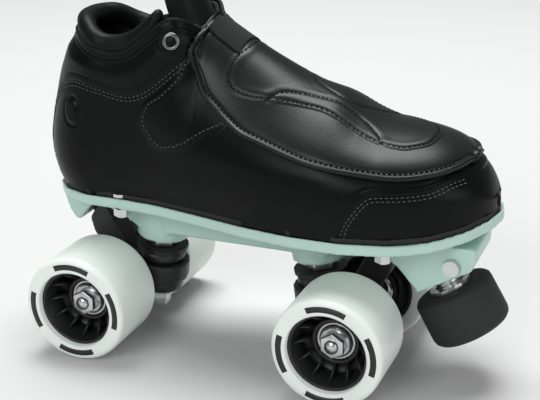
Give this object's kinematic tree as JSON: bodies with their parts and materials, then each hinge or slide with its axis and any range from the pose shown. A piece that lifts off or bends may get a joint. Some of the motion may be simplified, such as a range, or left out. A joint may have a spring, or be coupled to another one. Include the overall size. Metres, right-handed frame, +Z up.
{
  "type": "quad roller skate",
  "caption": "Quad roller skate for the right foot: padded black leather boot with a smooth instep cover on a pale green plate, steering trucks, white wheels and a toe stop.",
  "frame": {"origin": "on the ground under the middle of the skate's length and width", "axes": "+X towards the toe, +Y to the left of someone wearing it, +Z up"},
  "size_m": [0.2706, 0.128, 0.226],
  "materials": {
    "boot_leather": "soft satin full-grain leather",
    "padded_leather": "soft matt padded leather",
    "cover_leather": "smooth semi-gloss leather",
    "label_tab": "woven",
    "sole_board": "matt edge",
    "lining_fabric": "knitted mesh",
    "plate_nylon": "satin moulded",
    "wheel_urethane": "smooth cast urethane",
    "hub_nylon": "matt moulded",
    "bearing_steel": "ground",
    "hanger_metal": "black powder coat",
    "cushion_rubber": "satin",
    "black_steel": "black oxide",
    "pivot_nylon": "matt",
    "stop_rubber": "matt moulded",
    "bright_steel": "zinc plated"
  },
  "bodies": {
    "skate_base": {"boot_lining": "lining_fabric", "boot_upper": "boot_leather", "collar_pad": "padded_leather", "cushion_bottom_front": "cushion_rubber", "cushion_bottom_rear": "cushion_rubber", "cushion_top_front": "cushion_rubber", "cushion_top_rear": "cushion_rubber", "eyelet_left": "bright_steel", "eyelet_right": "bright_steel", "footbed": "lining_fabric", "instep_cover": "cover_leather", "instep_tab": "label_tab", "kingpin_front": "bright_steel", "kingpin_jam_nut_front": "bright_steel", "kingpin_jam_nut_rear": "bright_steel", "kingpin_nut_front": "bright_steel", "kingpin_nut_rear": "bright_steel", "kingpin_rear": "bright_steel", "midsole": "sole_board", "mount_bolt_front_left": "bright_steel", "mount_bolt_front_right": "bright_steel", "mount_bolt_rear_left": "bright_steel", "mount_bolt_rear_right": "bright_steel", "pivot_cup_front": "pivot_nylon", "pivot_cup_rear": "pivot_nylon", "plate": "plate_nylon", "retainer_bottom_front": "bright_steel", "retainer_bottom_rear": "bright_steel", "retainer_top_front": "black_steel", "retainer_top_rear": "black_steel", "toe_stop_clamp_screw": "bright_steel", "tongue_base": "padded_leather"},
    "front_truck": {"hanger_front": "hanger_metal", "axle_front": "bright_steel", "axle_nut_front_left": "bright_steel", "axle_nut_front_right": "bright_steel"},
    "rear_truck": {"hanger_rear": "hanger_metal", "axle_rear": "bright_steel", "axle_nut_rear_left": "bright_steel", "axle_nut_rear_right": "bright_steel"},
    "wheel_front_left": {"tyre_front_left": "wheel_urethane", "hub_front_left": "hub_nylon", "bearing_outer_front_left": "bearing_steel", "bearing_inner_front_left": "bearing_steel"},
    "wheel_front_right": {"tyre_front_right": "wheel_urethane", "hub_front_right": "hub_nylon", "bearing_outer_front_right": "bearing_steel", "bearing_inner_front_right": "bearing_steel"},
    "wheel_rear_left": {"tyre_rear_left": "wheel_urethane", "hub_rear_left": "hub_nylon", "bearing_outer_rear_left": "bearing_steel", "bearing_inner_rear_left": "bearing_steel"},
    "wheel_rear_right": {"tyre_rear_right": "wheel_urethane", "hub_rear_right": "hub_nylon", "bearing_outer_rear_right": "bearing_steel", "bearing_inner_rear_right": "bearing_steel"},
    "toe_stop": {"toe_stop_stem": "bright_steel", "toe_stop_rubber": "stop_rubber", "toe_stop_washer": "bright_steel"},
    "tongue": {"tongue_top": "padded_leather"}
  },
  "joints": [
    {"name": "steer_front", "type": "hinge", "parent": "skate_base", "child": "front_truck", "pos_m": [0.03079, 0, 0.037], "axis": [0.7683, 0, 0.6401], "range_deg": [-7, 7], "stiffness_Nm_per_rad": 30, "deforming": ["cushion_top_front", "cushion_bottom_front"]},
    {"name": "steer_rear", "type": "hinge", "parent": "skate_base", "child": "rear_truck", "pos_m": [-0.07261, 0, 0.037], "axis": [-0.7683, 0, 0.6401], "range_deg": [-7, 7], "stiffness_Nm_per_rad": 30, "deforming": ["cushion_top_rear", "cushion_bottom_rear"]},
    {"name": "spin_front_left", "type": "hinge", "parent": "front_truck", "child": "wheel_front_left", "pos_m": [0.05409, 0.043, 0.031], "axis": [0, 1, 0], "continuous": true},
    {"name": "spin_front_right", "type": "hinge", "parent": "front_truck", "child": "wheel_front_right", "pos_m": [0.05409, -0.043, 0.031], "axis": [0, 1, 0], "continuous": true},
    {"name": "spin_rear_left", "type": "hinge", "parent": "rear_truck", "child": "wheel_rear_left", "pos_m": [-0.09591, 0.043, 0.031], "axis": [0, 1, 0], "continuous": true},
    {"name": "spin_rear_right", "type": "hinge", "parent": "rear_truck", "child": "wheel_rear_right", "pos_m": [-0.09591, -0.043, 0.031], "axis": [0, 1, 0], "continuous": true},
    {"name": "toe_stop_height", "type": "slide", "parent": "skate_base", "child": "toe_stop", "axis": [0.5, 0, -0.866], "range_m": [-0.005, 0.004]},
    {"name": "tongue_flex", "type": "hinge", "parent": "skate_base", "child": "tongue", "pos_m": [-0.03291, 0, 0.193], "axis": [0, 1, 0], "range_deg": [-5, 30], "stiffness_Nm_per_rad": 0.8}
  ]
}
